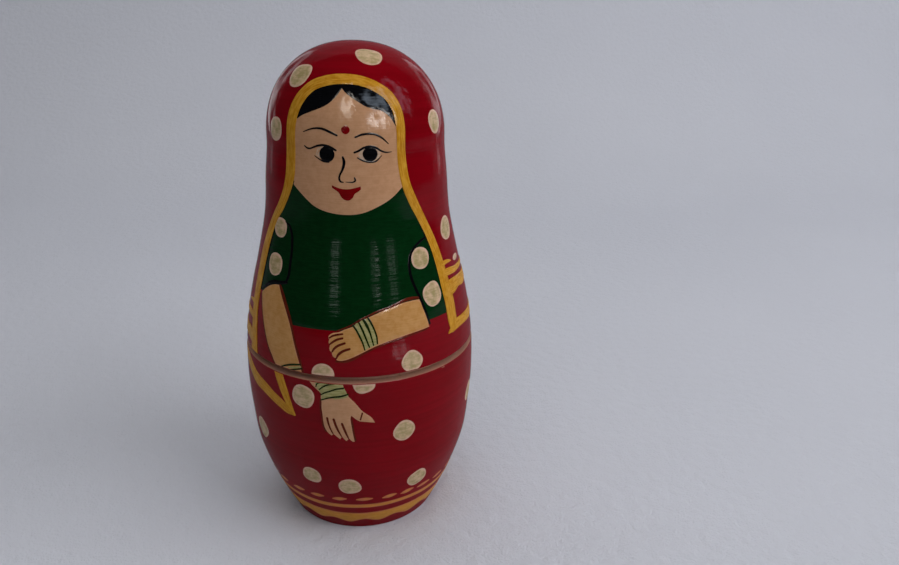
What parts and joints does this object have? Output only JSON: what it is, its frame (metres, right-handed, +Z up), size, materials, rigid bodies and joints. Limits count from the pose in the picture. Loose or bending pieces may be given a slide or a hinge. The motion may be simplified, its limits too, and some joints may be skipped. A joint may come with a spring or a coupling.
{
  "type": "nesting doll",
  "caption": "Turned and lacquered wooden nesting doll that opens at its middle, with smaller dolls of the same shape stacked one inside another.",
  "frame": {"origin": "middle of the outer doll's foot, on the surface it stands on", "axes": "+Z up along the turning axis, -Y the way the painted face looks, +X the doll's left side"},
  "size_m": [0.0784, 0.0784, 0.16],
  "materials": {
    "red_lacquer": "deep red paint under clear gloss varnish",
    "green_paint": "dark green paint under clear gloss varnish",
    "yellow_paint": "golden yellow paint under clear gloss varnish",
    "skin_paint": "warm buff paint under clear gloss varnish",
    "cream_paint": "dabbed cream paint under clear gloss varnish",
    "black_paint": "black paint under clear gloss varnish",
    "bangle_paint": "pale olive paint under clear gloss varnish",
    "bangle_line_paint": "dark olive green paint under clear gloss varnish",
    "brown_paint": "red-brown paint under clear gloss varnish",
    "lip_paint": "bright red paint under clear gloss varnish",
    "eye_white_paint": "off-white paint under clear gloss varnish",
    "bare_wood": "unpainted pale wood, matt, with turning marks"
  },
  "bodies": {
    "outer_lower": {"outer_doll_lower_half": "red_lacquer"},
    "outer_upper": {"outer_doll_upper_half": "red_lacquer"},
    "second_lower": {"second_doll_lower_half": "red_lacquer"},
    "second_upper": {"second_doll_upper_half": "red_lacquer"},
    "third_lower": {"third_doll_lower_half": "red_lacquer"},
    "third_upper": {"third_doll_upper_half": "red_lacquer"},
    "fourth_lower": {"fourth_doll_lower_half": "red_lacquer"},
    "fourth_upper": {"fourth_doll_upper_half": "red_lacquer"},
    "innermost": {"innermost_doll": "red_lacquer"}
  },
  "joints": [
    {"name": "outer_turn", "type": "hinge", "parent": "outer_lower", "child": "second_lower", "pos_m": [0, 0, 0.0083], "axis": [0, 0, 1], "continuous": true},
    {"name": "outer_lift", "type": "slide", "parent": "second_lower", "child": "outer_upper", "axis": [0, 0, 1], "range_m": [0, 0.205]},
    {"name": "second_turn", "type": "hinge", "parent": "second_lower", "child": "third_lower", "pos_m": [0, 0, 0.0154], "axis": [0, 0, 1], "continuous": true},
    {"name": "second_lift", "type": "slide", "parent": "third_lower", "child": "second_upper", "axis": [0, 0, 1], "range_m": [0, 0.1323]},
    {"name": "third_turn", "type": "hinge", "parent": "third_lower", "child": "fourth_lower", "pos_m": [0, 0, 0.0213], "axis": [0, 0, 1], "continuous": true},
    {"name": "third_lift", "type": "slide", "parent": "fourth_lower", "child": "third_upper", "axis": [0, 0, 1], "range_m": [0, 0.0755]},
    {"name": "fourth_turn", "type": "hinge", "parent": "fourth_lower", "child": "innermost", "pos_m": [0, 0, 0.0263], "axis": [0, 0, 1], "continuous": true},
    {"name": "fourth_lift", "type": "slide", "parent": "innermost", "child": "fourth_upper", "axis": [0, 0, 1], "range_m": [0, 0.0325]}
  ],
  "couplings": [
    {"joint": "second_lift", "follows": "outer_lift", "ratio": 0.645},
    {"joint": "third_lift", "follows": "outer_lift", "ratio": 0.368},
    {"joint": "fourth_lift", "follows": "outer_lift", "ratio": 0.158}
  ]
}
